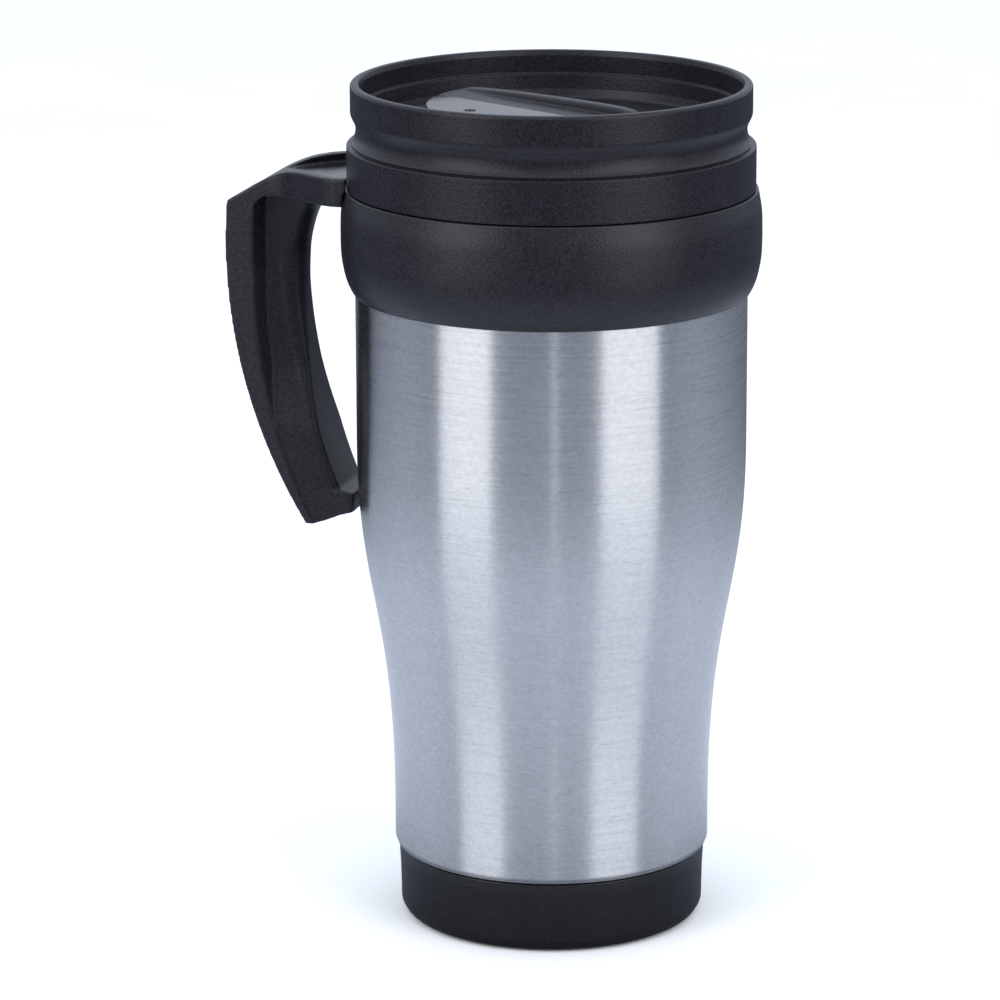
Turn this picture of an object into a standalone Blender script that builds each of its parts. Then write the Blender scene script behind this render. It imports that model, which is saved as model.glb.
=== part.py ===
"""Insulated travel mug: steel-clad double-walled body, side handle, screw lid and turning drink closure.

Frame: the origin is the centre of the underside that the mug stands on, +Z is up along the mug's axis
and the handle points towards -X. Sizes below are in millimetres and degrees; MM turns them into metres.
"""

import math

import bmesh
import bpy
from mathutils import Matrix, Vector

MM = 0.001
GAP = 0.3            # clearance left between two pieces that touch
SIDES = 48           # flats round a turned piece
MERGE = 0.00001      # merge distance of every modifier that merges, in metres

# Overall
HEIGHT = 176.0       # underside of the pad to the top of the lid's rim
SEAM_Z = 154.5       # where the lid's skirt sits down on the collar

# Steel outer shell
SHELL_WALL = 0.5
SHELL_LOW_R = 32.88  # straight lower part
SHELL_TOP_R = 40.25  # straight upper part
SHELL_BOTTOM_Z = 15.3
SHELL_TOP_Z = 140.0
SWELL_Z = (22.0, 67.0, 68.0, 101.5)  # Bezier heights of the swell between the two straight parts
SWELL_STEPS = 9

# Inner liner, the cup that holds the drink
LINER_WALL = 1.6
AIR_SPACE = 2.6      # between the shell's inside and the liner
LINER_BOTTOM_Z = 6.5
NECK_Z = 137.5       # where the liner widens into its neck
NECK_TOP_Z = 161.2
NECK_R = 38.6        # outside of the neck
BORE_R = 36.9        # inside of the neck

# Screw thread between the neck and the lid's plug: single start, right hand
LEAD = 5.0
THREAD_TURNS = 1.25
THREAD_Z = 149.0     # middle of the lid's thread at its lower end
RIDGE_HALF = (1.0, 0.45)  # half height of a ridge at its root and at its crest
THREAD_EMBED = 0.4

# Collar
COLLAR_R = 43.15
COLLAR_BOTTOM_Z = 132.9

# Base cap and the pad under it
CAP_R = 32.0
CAP_TOP_Z = 14.95
CAP_FOOT_Z = 0.5
CAP_WALL = 1.8
SPIGOT_TOP_Z = 24.0
SPIGOT_WALL = 1.2
PAD_R = 27.5
PAD_THICK = 1.2

# Lid
SKIRT_R = 41.76
SKIRT_INNER_R = 39.95
RIM_R = 40.95
WAIST_R = 39.85
WAIST_Z = 166.8
CREASE_Z = 163.5
DECK_TOP_Z = 166.0
DECK_UNDER_Z = 163.7
PLUG_R = 35.3
PLUG_WALL = 1.8
PLUG_BOTTOM_Z = 146.5
DRINK_HOLE_R = 18.0      # distance of the drink hole from the axis, towards -Y
DRINK_HOLE_SIZE = (11.0, 7.6)
VENT_R = 18.3
VENT_HOLE_R = 1.15
VENT_ANGLE = 221.0       # of the closure's own vent while it is shut

# Turning closure: a half-round plate with a thumb rib along its straight edge
CLOSURE_R = 25.6
CLOSURE_TOP_Z = 171.5
CLOSURE_WALL = 1.8
RIB_ANGLE = -29.0        # direction of the rib's front end while the closure is shut
OPEN_TURN = -85.0        # turn that uncovers the drink hole
RIB_TOP_Z = 173.2
STEM_R = 3.9
GROOVE_R = 3.2
GROOVE_Z = (161.6, 163.4)

# Handle, measured outwards from the mug's axis in its middle plane
HANDLE_HALF = 9.3
OUTER_ARC = (-42.7, 140.2, 110.0)  # centre distance, centre height and radius of the outer edge
INNER_ARC = (-58.2, 131.5, 110.3)  # the same for the tip of the rounded side that faces the mug
HANDLE_TOP_Z = 149.8
HANDLE_END_Z = 82.0
ARM_UNDER_Z = 151.2
ARM_TOP_Z = 157.0
WING_HALF = 17.3         # half width of the arm where it meets the collar
FLARE_LOW_Z = 140.0
FLANGE = 2.3
WEB_Z = 155.2
SPINE = (5.9, 1.8)       # thickness of the grip's wide outer spine at its top and at its end
SPINE_EVEN_Z = 134.0     # above this height the spine keeps its thickness
BODY_HALF = 5.1          # half width of the grip's narrow body, which ends in a half round
BODY_LEAN = 1.0          # what the body gains on each side between its nose and the spine
WALL_SLOPE = 0.56        # lean of the spine's inner wall, per millimetre of depth
NOSE_TOP_Z = 132.5       # below this height the half round has a flat nose that widens steadily
NOSE_GROWTH = 0.225      # half width that the nose gains per millimetre of descent
NOSE_MOST = 6.9
NOSE_CORNER = 1.2        # rounding of the nose's corners where it is widest
RECESS_ROUND = 3.6       # rounding of the recess's upper corner
FOOT_Z = (85.2, 88.8)    # where the body's foot rests against the shell
SOCKET_LOW_Z = 145.0
TONGUE_HALF = 6.5
HEAD_HALF = 9.0

PARTS = "insulated_travel_mug"
CUTTERS = "cutters"


def clear_scene():
    for obj in list(bpy.data.objects):
        bpy.data.objects.remove(obj)
    for name in (PARTS, CUTTERS):
        old = bpy.data.collections.get(name)
        if old:
            bpy.data.collections.remove(old)
        collection = bpy.data.collections.new(name)
        bpy.context.scene.collection.children.link(collection)


def material(name, colour, roughness, metallic=0.0):
    made = bpy.data.materials.new(name)
    made.use_nodes = True
    shader = made.node_tree.nodes["Principled BSDF"]
    shader.inputs["Base Color"].default_value = (*colour, 1.0)
    shader.inputs["Roughness"].default_value = roughness
    shader.inputs["Metallic"].default_value = metallic
    made.diffuse_color = (*colour, 1.0)
    return made


def black_plastic(name):
    return material(name, (0.017, 0.0165, 0.021), 0.45)


def silicone(name):
    return material(name, (0.05, 0.05, 0.055), 0.6)


def add(name, mesh, collection=PARTS):
    obj = bpy.data.objects.new(name, mesh)
    bpy.data.collections[collection].objects.link(obj)
    if collection == CUTTERS:
        obj.hide_render = True
        obj.display_type = "WIRE"
    return obj


def smooth(obj):
    obj.data.shade_smooth()
    obj.data.set_sharp_from_angle(angle=math.radians(35))


def evaluated_mesh(obj):
    """The object's mesh with its modifiers, as a new mesh with no loose caps."""
    bpy.context.view_layer.update()
    graph = bpy.context.evaluated_depsgraph_get()
    mesh = bpy.data.meshes.new_from_object(obj.evaluated_get(graph))
    shape = bmesh.new()
    shape.from_mesh(mesh)
    bmesh.ops.remove_doubles(shape, verts=shape.verts, dist=MERGE)
    shape.to_mesh(mesh)
    shape.free()
    return mesh


def applied(obj):
    """Replaces the object's mesh by its evaluated one, which leaves it without modifiers."""
    mesh = evaluated_mesh(obj)
    obj.modifiers.clear()
    obj.data = mesh
    return obj


def turned(name, profile, closed=True, collection=PARTS, turn=360.0, rise=0.0):
    """A turned piece: the (radius, height) profile runs down its outer side and is swept about Z."""
    points = [(radius * MM, 0.0, height * MM) for radius, height in profile]
    links = [(i, i + 1) for i in range(len(points) - 1)]
    if closed:
        links.append((len(points) - 1, 0))
    mesh = bpy.data.meshes.new(name)
    mesh.from_pydata(points, links, [])
    obj = add(name, mesh, collection)
    screw = obj.modifiers.new("Turn", "SCREW")
    screw.angle = math.radians(turn)
    screw.screw_offset = rise * MM
    screw.steps = round(SIDES * turn / 360.0)
    screw.render_steps = screw.steps
    screw.use_merge_vertices = True
    screw.merge_threshold = MERGE
    screw.use_smooth_shade = True
    return obj


def prism(name, outline, low, high, upright=False, collection=CUTTERS):
    """A flat outline given thickness: in plan from height low to high, or upright (x, z) along Y."""
    curve = bpy.data.curves.new(name, "CURVE")
    curve.dimensions = "2D"
    curve.fill_mode = "BOTH"
    curve.extrude = (high - low) / 2 * MM
    spline = curve.splines.new("POLY")
    spline.points.add(len(outline) - 1)
    for point, (x, y) in zip(spline.points, outline):
        point.co = (x * MM, y * MM, 0.0, 1.0)
    spline.use_cyclic_u = True
    flat = bpy.data.objects.new(f"{name}_outline", curve)
    bpy.context.scene.collection.objects.link(flat)
    middle = (low + high) / 2 * MM
    if upright:
        flat.matrix_world = Matrix.Translation((0, middle, 0)) @ Matrix.Rotation(math.pi / 2, 4, "X")
    else:
        flat.matrix_world = Matrix.Translation((0, 0, middle))
    mesh = evaluated_mesh(flat)
    obj = add(name, mesh, collection)
    obj.matrix_world = flat.matrix_world
    bpy.data.objects.remove(flat)
    return obj


def rod(name, radius, low, high, centre=(0.0, 0.0), stretch=(1.0, 1.0), sides=24):
    """An upright cylinder, or an oval one where stretch says so."""
    bpy.ops.mesh.primitive_cylinder_add(vertices=sides, radius=radius * MM, depth=(high - low) * MM)
    obj = bpy.context.object
    obj.name = name
    for owner in list(obj.users_collection):
        owner.objects.unlink(obj)
    bpy.data.collections[CUTTERS].objects.link(obj)
    obj.hide_render = True
    obj.display_type = "WIRE"
    obj.data.transform(Matrix.Diagonal((stretch[0], stretch[1], 1.0, 1.0)))
    obj.location = (centre[0] * MM, centre[1] * MM, (low + high) / 2 * MM)
    return obj


def boolean(obj, other, operation):
    step = obj.modifiers.new(f"{operation.title()} {other.name}", "BOOLEAN")
    step.operation = operation
    step.object = other
    step.solver = "EXACT"
    return obj


def cut(obj, other):
    return boolean(obj, other, "DIFFERENCE")


def join(obj, other):
    return boolean(obj, other, "UNION")


def polar(radius, degrees):
    return (radius * math.cos(math.radians(degrees)), radius * math.sin(math.radians(degrees)))


def arc(centre, radius, start, end, steps):
    """Points on an arc from the start to the end angle, both included."""
    angles = [start + (end - start) * i / steps for i in range(steps + 1)]
    return [(centre[0] + polar(radius, a)[0], centre[1] + polar(radius, a)[1]) for a in angles]


def on_axis(obj, centre):
    """Moves the object's origin to a point on its axis, unturned, and leaves its shape where it is."""
    bpy.context.view_layer.update()
    shift = Matrix.Translation(-Vector(centre) * MM)
    obj.data.transform(shift @ obj.matrix_world)
    obj.matrix_world = Matrix.Translation(Vector(centre) * MM)


def swell(inset):
    """The shell's swell from its top down, moved inwards by inset: a Bezier curve of radius on height."""
    points = []
    for i in range(SWELL_STEPS + 1):
        t = 1 - i / SWELL_STEPS
        share = t * t * (3 - 2 * t)
        weights = ((1 - t) ** 3, 3 * (1 - t) ** 2 * t, 3 * (1 - t) * t * t, t ** 3)
        height = sum(w * z for w, z in zip(weights, SWELL_Z))
        points.append((SHELL_LOW_R + (SHELL_TOP_R - SHELL_LOW_R) * share - inset, height))
    return points


def thread_ridge(name, root, crest, low_z):
    """One helical ridge, open inwards or outwards depending on which of root and crest is larger."""
    profile = [
        (root, low_z + RIDGE_HALF[0]),
        (crest, low_z + RIDGE_HALF[1]),
        (crest, low_z - RIDGE_HALF[1]),
        (root, low_z - RIDGE_HALF[0]),
    ]
    if crest < root:
        profile.reverse()
    ridge = turned(name, profile, True, CUTTERS, 360 * THREAD_TURNS, LEAD * THREAD_TURNS)
    applied(ridge)
    shape = bmesh.new()
    shape.from_mesh(ridge.data)
    bmesh.ops.holes_fill(shape, edges=shape.edges)
    bmesh.ops.recalc_face_normals(shape, faces=shape.faces)
    shape.to_mesh(ridge.data)
    shape.free()
    return ridge


def outer_shell():
    """Drawn steel sleeve, open at both ends, with its lower edge turned in."""
    outside = [(SHELL_TOP_R, SHELL_TOP_Z)] + swell(0) + [
        (SHELL_LOW_R, SHELL_BOTTOM_Z + 1.7),
        (SHELL_LOW_R - 0.25, SHELL_BOTTOM_Z + 0.5),
        (SHELL_LOW_R - 0.8, SHELL_BOTTOM_Z),
    ]
    inside = [
        (SHELL_LOW_R - 0.9, SHELL_BOTTOM_Z + SHELL_WALL),
        (SHELL_LOW_R - SHELL_WALL, SHELL_BOTTOM_Z + 1.7),
    ] + swell(SHELL_WALL)[::-1] + [(SHELL_TOP_R - SHELL_WALL, SHELL_TOP_Z)]
    obj = turned("outer_shell", outside + inside)
    obj.data.materials.append(material("brushed_steel", (0.5, 0.51, 0.54), 0.32, 1.0))
    return obj


def inner_liner():
    """Plastic cup that holds the drink, with the threaded neck that the lid screws into."""
    outer = SHELL_WALL + AIR_SPACE
    inner = outer + LINER_WALL
    body = [point for point in swell(outer) if point[1] > SWELL_Z[0]]
    cavity = [point for point in swell(inner) if point[1] > SWELL_Z[0]]
    low_r = SHELL_LOW_R - outer
    profile = [
        (0.0, LINER_BOTTOM_Z + LINER_WALL),
        (low_r - 4.0, LINER_BOTTOM_Z + LINER_WALL),
        (low_r - LINER_WALL, LINER_BOTTOM_Z + 5.0),
    ] + cavity[::-1] + [
        (SHELL_TOP_R - inner, NECK_Z - 1.5),
        (BORE_R, NECK_Z + 0.6),
        (BORE_R, NECK_TOP_Z - 0.3),
        (BORE_R + 0.3, NECK_TOP_Z),
        (NECK_R - 0.3, NECK_TOP_Z),
        (NECK_R, NECK_TOP_Z - 0.5),
        (NECK_R, SEAM_Z + 1.6),
        (NECK_R + 0.8, SEAM_Z + 1.3),
        (NECK_R + 0.8, SEAM_Z + 0.2),
        (NECK_R, SEAM_Z + 0.2),
        (NECK_R, NECK_Z),
        (SHELL_TOP_R - outer, NECK_Z - 2.0),
    ] + body + [
        (low_r, LINER_BOTTOM_Z + 4.0),
        (low_r - 3.5, LINER_BOTTOM_Z),
        (0.0, LINER_BOTTOM_Z),
    ]
    obj = turned("inner_liner", profile, closed=False)
    ridge = thread_ridge("neck_thread", BORE_R + THREAD_EMBED, PLUG_R + 0.4, THREAD_Z + LEAD / 2)
    join(obj, ridge)
    obj.data.materials.append(black_plastic("liner_plastic"))
    return obj


def collar_outline(offset):
    """The collar's barrel-shaped outer side from its top down, moved outwards by offset."""
    top_z = SEAM_Z - 0.2
    return [
        (COLLAR_R - 1.35 + offset, top_z),
        (COLLAR_R - 0.95 + offset, top_z - 0.3),
        (COLLAR_R - 0.6 + offset, 152.6),
        (COLLAR_R - 0.2 + offset, 150.2),
        (COLLAR_R + offset, 147.0),
        (COLLAR_R + offset, 142.6),
        (COLLAR_R - 0.35 + offset, 139.3),
        (COLLAR_R - 1.05 + offset, 136.0),
        (COLLAR_R - 1.9 + offset, 134.1),
        (COLLAR_R - 2.5 + offset, COLLAR_BOTTOM_Z + 0.1),
    ]


def hook(name, offset, top_z, stem_end):
    """The T-shaped hook that joins handle and collar, grown by offset: an arc-shaped head and its stem."""
    low_z = SOCKET_LOW_Z - offset
    inner_r = NECK_R + GAP + 0.15 - offset
    outer_r = NECK_R + 2.1 + offset
    ring = [(outer_r, top_z), (outer_r, low_z), (inner_r, low_z), (inner_r, top_z)]
    head = turned(f"{name}_head", ring, collection=CUTTERS)
    half = HEAD_HALF + offset
    slab = [(-50, -half), (-30, -half), (-30, half), (-50, half)]
    width = prism(f"{name}_width", slab, low_z - 5, top_z + 5)
    boolean(head, width, "INTERSECT")
    stem = prism(f"{name}_stem", stem_end, -TONGUE_HALF - offset, TONGUE_HALF + offset, upright=True)
    return head, stem


def tongue():
    """The hook on the handle: its stem runs into the arm and is flush with the collar below the arm."""
    start, flush, end = -(NECK_R + 1.3), -(COLLAR_R - 0.15), -(COLLAR_R + 3)
    low, step, top = SOCKET_LOW_Z + 0.5, ARM_UNDER_Z + 0.5, SEAM_Z - 0.9
    outline = [(start, low), (start, top), (end, top), (end, step), (flush, step), (flush, low)]
    return hook("tongue", 0.0, SEAM_Z - 0.6, outline)


def socket():
    """The slot in the collar that the tongue slides down into, open at the top."""
    start, end = -(NECK_R + 1.3 - GAP), -(COLLAR_R + 6)
    low, top = SOCKET_LOW_Z + 0.5 - GAP, SEAM_Z + 2
    outline = [(start, low), (start, top), (end, top), (end, low)]
    return hook("socket", GAP, SEAM_Z + 3, outline)


def collar():
    """Ring that hides the shell's upper edge and carries the handle in a T-shaped socket."""
    inside = [
        (SHELL_TOP_R + GAP, COLLAR_BOTTOM_Z),
        (SHELL_TOP_R + GAP, SHELL_TOP_Z + GAP),
        (NECK_R + GAP, SHELL_TOP_Z + GAP),
        (NECK_R + GAP, SEAM_Z - 0.2),
    ]
    obj = turned("collar", collar_outline(0) + inside)
    for cutter in socket():
        cut(obj, cutter)
    obj.data.materials.append(black_plastic("collar_plastic"))
    return obj


def edge_at(edge, height):
    """Distance from the mug's axis to one of the handle's arcs at a height."""
    centre, centre_z, radius = edge
    return centre + math.sqrt(radius ** 2 - (height - centre_z) ** 2)


def spine_at(height):
    """Distance from the mug's axis to the inner side of the grip's spine at a height."""
    share = min(1.0, (height - HANDLE_END_Z) / (SPINE_EVEN_Z - HANDLE_END_Z))
    return edge_at(OUTER_ARC, height) - SPINE[1] - (SPINE[0] - SPINE[1]) * share


def descent(start, end, steps):
    return [start + (end - start) * i / steps for i in range(steps + 1)]


def grip_section(height, tip, steps):
    """Outline of the grip's narrow body at a height: walls towards the spine, sides and nose."""
    nose = min(NOSE_MOST, NOSE_GROWTH * max(0.0, NOSE_TOP_Z - height))
    reach = BODY_HALF + (NOSE_CORNER - BODY_HALF) * nose / NOSE_MOST
    half = max(BODY_HALF, nose + NOSE_CORNER)
    root = half + BODY_LEAN
    spine = -spine_at(max(height, HANDLE_END_Z))
    over = HANDLE_HALF + 1.0
    groove = spine + WALL_SLOPE * (HANDLE_HALF - root)
    side = [(spine - 2.0, over), (spine - WALL_SLOPE, over), (groove, root)]
    side += [(x - tip - reach, nose + y) for x, y in
             [(u * reach, v * (half - nose)) for u, v in arc((0, 0), 1.0, 90, 0, steps)]]
    return [(x, -y) for x, y in side] + side[::-1]


def grip_body():
    """The narrow body of the grip as a loft of its sections, with its foot against the shell."""
    foot_r = SHELL_TOP_R + GAP + 0.1
    tips = [(153.0, 45.4), (ARM_UNDER_Z, 46.0), (149.8, 47.8), (147.9, 49.4), (145.0, 50.6), (141.5, 51.5)]
    tips += [(z, edge_at(INNER_ARC, z)) for z in descent(137.0, FOOT_Z[1] + 0.7, 9)]
    tips += [(FOOT_Z[1], foot_r), (FOOT_Z[0], foot_r), (80.0, foot_r)]
    shape = bmesh.new()
    rings = [
        [shape.verts.new(Vector((x, y, height)) * MM) for x, y in grip_section(height, tip, 5)]
        for height, tip in tips
    ]
    for upper, lower in zip(rings, rings[1:]):
        for i in range(len(upper)):
            n = (i + 1) % len(upper)
            shape.faces.new([upper[i], upper[n], lower[n], lower[i]])
    shape.faces.new(rings[0])
    shape.faces.new(rings[-1][::-1])
    bmesh.ops.recalc_face_normals(shape, faces=shape.faces)
    mesh = bpy.data.meshes.new("grip_body")
    shape.to_mesh(mesh)
    shape.free()
    return add("grip_body", mesh, CUTTERS)


def handle():
    """Open-ended handle: a flared arm that hooks into the collar, a wide spine and a narrow body."""
    outline = [(-edge_at(OUTER_ARC, z), z) for z in descent(HANDLE_TOP_Z, HANDLE_END_Z, 10)] + [
        (-49.2, HANDLE_END_Z),
        (-46.6, 82.8),
        (-43.3, 84.1),
        (-39.5, 85.0),
        (-39.5, 148.0),
        (-36.0, 148.0),
        (-36.0, ARM_TOP_Z),
        (-50.0, ARM_TOP_Z),
        (-55.6, 155.9),
        (-59.2, 154.5),
        (-63.1, 151.9),
    ]
    obj = prism("handle", outline, -20, 20, upright=True, collection=PARTS)
    on_axis(obj, (0.0, 0.0, 0.0))
    corner_z = ARM_UNDER_Z - RECESS_ROUND
    corner = arc((-spine_at(corner_z) + RECESS_ROUND, corner_z), RECESS_ROUND, 180, 90, 5)
    spine_side = [(-spine_at(max(z, HANDLE_END_Z)), z) for z in [75.0] + descent(HANDLE_END_Z, 144.0, 9)]
    recess_outline = spine_side + corner + [(-30, ARM_UNDER_Z), (-30, 75.0)]
    recess = prism("grip_recess", recess_outline, -25, 25, upright=True)
    cut(recess, grip_body())
    flare = [(-75, HANDLE_HALF), (-57, HANDLE_HALF), (-52.5, 11.0), (-48.0, 14.0), (-44.5, 16.4),
             (-41.5, WING_HALF), (-30, WING_HALF), (-30, 30), (-75, 30)]
    beside_grip = [(-75, HANDLE_HALF), (-30, HANDLE_HALF), (-30, 30), (-75, 30)]
    for side, label in ((1, "back"), (-1, "front")):
        cut(obj, prism(f"arm_flare_{label}", [(x, side * y) for x, y in flare], FLARE_LOW_Z, 170))
        cut(obj, prism(f"grip_side_{label}", [(x, side * y) for x, y in beside_grip], 70, FLARE_LOW_Z + 1))
    web_half = WING_HALF - FLANGE
    half_web = [(-57.0, 0.0), (-52.5, 6.5), (-48.0, 10.9), (-41.5, web_half), (-30.0, web_half)]
    web = prism("arm_channel", half_web + [(x, -y) for x, y in half_web[:0:-1]], WEB_Z, 165)
    clearance = turned("collar_clearance", [
        (0.0, 162.0),
        (SKIRT_R + 0.45, 162.0),
        (SKIRT_R + 0.45, SEAM_Z + 0.3),
    ] + collar_outline(GAP)[1:] + [(0.0, COLLAR_BOTTOM_Z)], False, CUTTERS)
    cut(obj, recess)
    cut(obj, web)
    cut(obj, clearance)
    for piece in tongue():
        join(obj, piece)
    obj.data.materials.append(black_plastic("handle_plastic"))
    return obj


def base_cap():
    """Plastic cup that closes the shell's lower end, with a recess under it for the pad."""
    spigot_r = SHELL_LOW_R - 0.9 - GAP - 0.25
    profile = [
        (0.0, PAD_THICK + GAP + CAP_WALL),
        (spigot_r - SPIGOT_WALL, PAD_THICK + GAP + CAP_WALL),
        (spigot_r - SPIGOT_WALL, SPIGOT_TOP_Z),
        (spigot_r, SPIGOT_TOP_Z),
        (spigot_r, CAP_TOP_Z),
        (CAP_R, CAP_TOP_Z),
        (CAP_R, 13.2),
        (CAP_R - 0.2, 9.5),
        (CAP_R - 0.35, 2.8),
        (CAP_R - 0.8, 1.2),
        (CAP_R - 1.8, CAP_FOOT_Z),
        (PAD_R + GAP, CAP_FOOT_Z),
        (PAD_R + GAP, PAD_THICK + GAP),
        (0.0, PAD_THICK + GAP),
    ]
    obj = turned("base_cap", profile, closed=False)
    obj.data.materials.append(black_plastic("base_plastic"))
    return obj


def base_pad():
    """Non-slip disc that the mug stands on."""
    obj = turned("base_pad", [(0.0, PAD_THICK), (PAD_R, PAD_THICK), (PAD_R, 0.0), (0.0, 0.0)], False)
    obj.data.materials.append(silicone("pad_rubber"))
    return obj


def lid_shell():
    """Screw lid: skirt, waist and rim outside, sunken deck inside, threaded plug underneath."""
    profile = [
        (RIM_R - 1.0, HEIGHT),
        (RIM_R - 0.3, HEIGHT - 0.3),
        (RIM_R, HEIGHT - 1.0),
        (RIM_R, 169.9),
        (RIM_R - 0.55, 168.5),
        (WAIST_R, WAIST_Z),
        (WAIST_R + 0.35, 165.4),
        (WAIST_R + 1.1, CREASE_Z + 0.4),
        (SKIRT_R - 0.3, CREASE_Z),
        (SKIRT_R, CREASE_Z - 0.5),
        (SKIRT_R, SEAM_Z + 0.3),
        (SKIRT_INNER_R, SEAM_Z + 0.3),
        (SKIRT_INNER_R, DECK_UNDER_Z - 0.8),
        (SKIRT_INNER_R - 0.8, DECK_UNDER_Z),
        (PLUG_R, DECK_UNDER_Z),
        (PLUG_R, PLUG_BOTTOM_Z + 0.8),
        (PLUG_R - 0.5, PLUG_BOTTOM_Z),
        (PLUG_R - PLUG_WALL, PLUG_BOTTOM_Z),
        (PLUG_R - PLUG_WALL, DECK_UNDER_Z),
        (STEM_R + GAP, DECK_UNDER_Z),
        (STEM_R + GAP, DECK_TOP_Z),
        (WAIST_R - 2.6, DECK_TOP_Z),
        (WAIST_R - 2.0, DECK_TOP_Z + 1.0),
        (RIM_R - 2.4, 169.4),
        (RIM_R - 2.0, 170.6),
        (RIM_R - 2.0, HEIGHT - 0.8),
        (RIM_R - 1.6, HEIGHT),
    ]
    obj = turned("lid_shell", profile)
    ridge = thread_ridge("plug_thread", PLUG_R - THREAD_EMBED, BORE_R - 0.4, THREAD_Z)
    hole = rod("drink_hole", DRINK_HOLE_SIZE[0] / 2, 160, 168, polar(DRINK_HOLE_R, 270),
               (1.0, DRINK_HOLE_SIZE[1] / DRINK_HOLE_SIZE[0]), 20)
    vent = rod("deck_vent", VENT_HOLE_R, 160, 168, polar(VENT_R, VENT_ANGLE + OPEN_TURN), sides=12)
    join(obj, ridge)
    cut(obj, hole)
    cut(obj, vent)
    obj.data.materials.append(black_plastic("lid_plastic"))
    return obj


def lid_gasket():
    """Flat silicone ring under the deck that seals on the neck's rim."""
    inner, outer = PLUG_R + GAP, SKIRT_INNER_R - 1.2
    top, low = DECK_UNDER_Z - GAP, NECK_TOP_Z + GAP
    obj = turned("lid_gasket", [(outer, top), (outer, low), (inner, low), (inner, top)])
    obj.data.materials.append(silicone("gasket_silicone"))
    return obj


def closure_disc():
    """Half-round valve plate with a thumb rib, turning on a stem that passes through the deck."""
    low = DECK_TOP_Z + GAP
    back = RIB_ANGLE + 180
    half_plate = arc((0, 0), CLOSURE_R, back, back + 180, 20)
    half_plate += [polar(5.0, RIB_ANGLE + 60), polar(5.0, back - 60)]
    obj = prism("closure_disc", half_plate, low, CLOSURE_TOP_Z, collection=PARTS)
    pocket_outline = arc((0, 0), CLOSURE_R - CLOSURE_WALL, back + 6, back + 174, 16)
    pocket_outline += [polar(8.5, RIB_ANGLE - 14)] + arc((0, 0), 7.0, RIB_ANGLE - 30, back + 30 - 360, 5)
    pocket_outline += [polar(8.5, back + 14)]
    pocket = prism("closure_pocket", pocket_outline, low - 1, CLOSURE_TOP_Z - CLOSURE_WALL)
    vent = rod("closure_vent", VENT_HOLE_R, 160, 175, polar(VENT_R, VENT_ANGLE), sides=12)
    rib_side = [
        (-CLOSURE_R + 1.0, CLOSURE_TOP_Z - 1.0),
        (CLOSURE_R - 1.6, CLOSURE_TOP_Z - 1.0),
        (CLOSURE_R - 1.6, CLOSURE_TOP_Z + 0.6),
        (CLOSURE_R - 4.0, RIB_TOP_Z - 0.2),
        (15.0, RIB_TOP_Z),
        (0.0, RIB_TOP_Z - 0.2),
        (-CLOSURE_R + 3.0, CLOSURE_TOP_Z + 0.6),
    ]
    rib = prism("thumb_rib", rib_side, -1.7, 1.7, upright=True)
    on_axis(rib, (0.0, 0.0, 0.0))
    rib.rotation_euler = (0.0, 0.0, math.radians(RIB_ANGLE))
    stem = turned("closure_stem", [
        (0.0, CLOSURE_TOP_Z - 0.9),
        (STEM_R + 1.6, CLOSURE_TOP_Z - 0.9),
        (STEM_R + 1.6, low),
        (STEM_R, low),
        (STEM_R, GROOVE_Z[1]),
        (GROOVE_R, GROOVE_Z[1]),
        (GROOVE_R, GROOVE_Z[0]),
        (STEM_R, GROOVE_Z[0]),
        (STEM_R - 0.7, GROOVE_Z[0] - 1.6),
        (0.0, GROOVE_Z[0] - 1.6),
    ], False, CUTTERS)
    cut(obj, pocket)
    join(obj, rib)
    join(obj, stem)
    cut(obj, vent)
    obj.data.materials.append(black_plastic("closure_plastic"))
    return obj


def closure_seal():
    """Oval silicone pad inside the closure that covers the drink hole while it is shut."""
    low = DECK_TOP_Z + GAP
    obj = rod("closure_seal", DRINK_HOLE_SIZE[0] / 2 + 1.1, low, CLOSURE_TOP_Z - CLOSURE_WALL - GAP,
              polar(DRINK_HOLE_R + 0.3, 270), (1.0, 0.742), sides=20)
    on_axis(obj, (0.0, 0.0, low))
    bpy.data.collections[CUTTERS].objects.unlink(obj)
    bpy.data.collections[PARTS].objects.link(obj)
    obj.hide_render = False
    obj.display_type = "TEXTURED"
    obj.data.materials.append(silicone("seal_silicone"))
    return obj


def retaining_washer():
    """Push-on washer in the stem's groove that keeps the closure on the deck."""
    inner, outer = GROOVE_R + GAP, 7.5
    low, top = GROOVE_Z[0] + GAP, DECK_UNDER_Z - GAP - 0.3
    obj = turned("retaining_washer", [(outer, top), (outer, low), (inner, low), (inner, top)])
    obj.data.materials.append(black_plastic("washer_plastic"))
    return obj


def build():
    clear_scene()
    pieces = [
        outer_shell(), inner_liner(), collar(), handle(), base_cap(), base_pad(),
        lid_shell(), lid_gasket(), closure_disc(), closure_seal(), retaining_washer(),
    ]
    for obj in pieces:
        smooth(obj)


build()
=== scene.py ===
"""Looks of the insulated travel mug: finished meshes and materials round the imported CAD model.

Sizes are in millimetres and degrees, and MM turns millimetres into metres. The stage's sizes are in
metres. The origin is the centre of the underside, +Z is up and the handle points towards -X.
"""

import math

import bmesh
import bpy
from mathutils import Matrix, Vector


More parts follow.
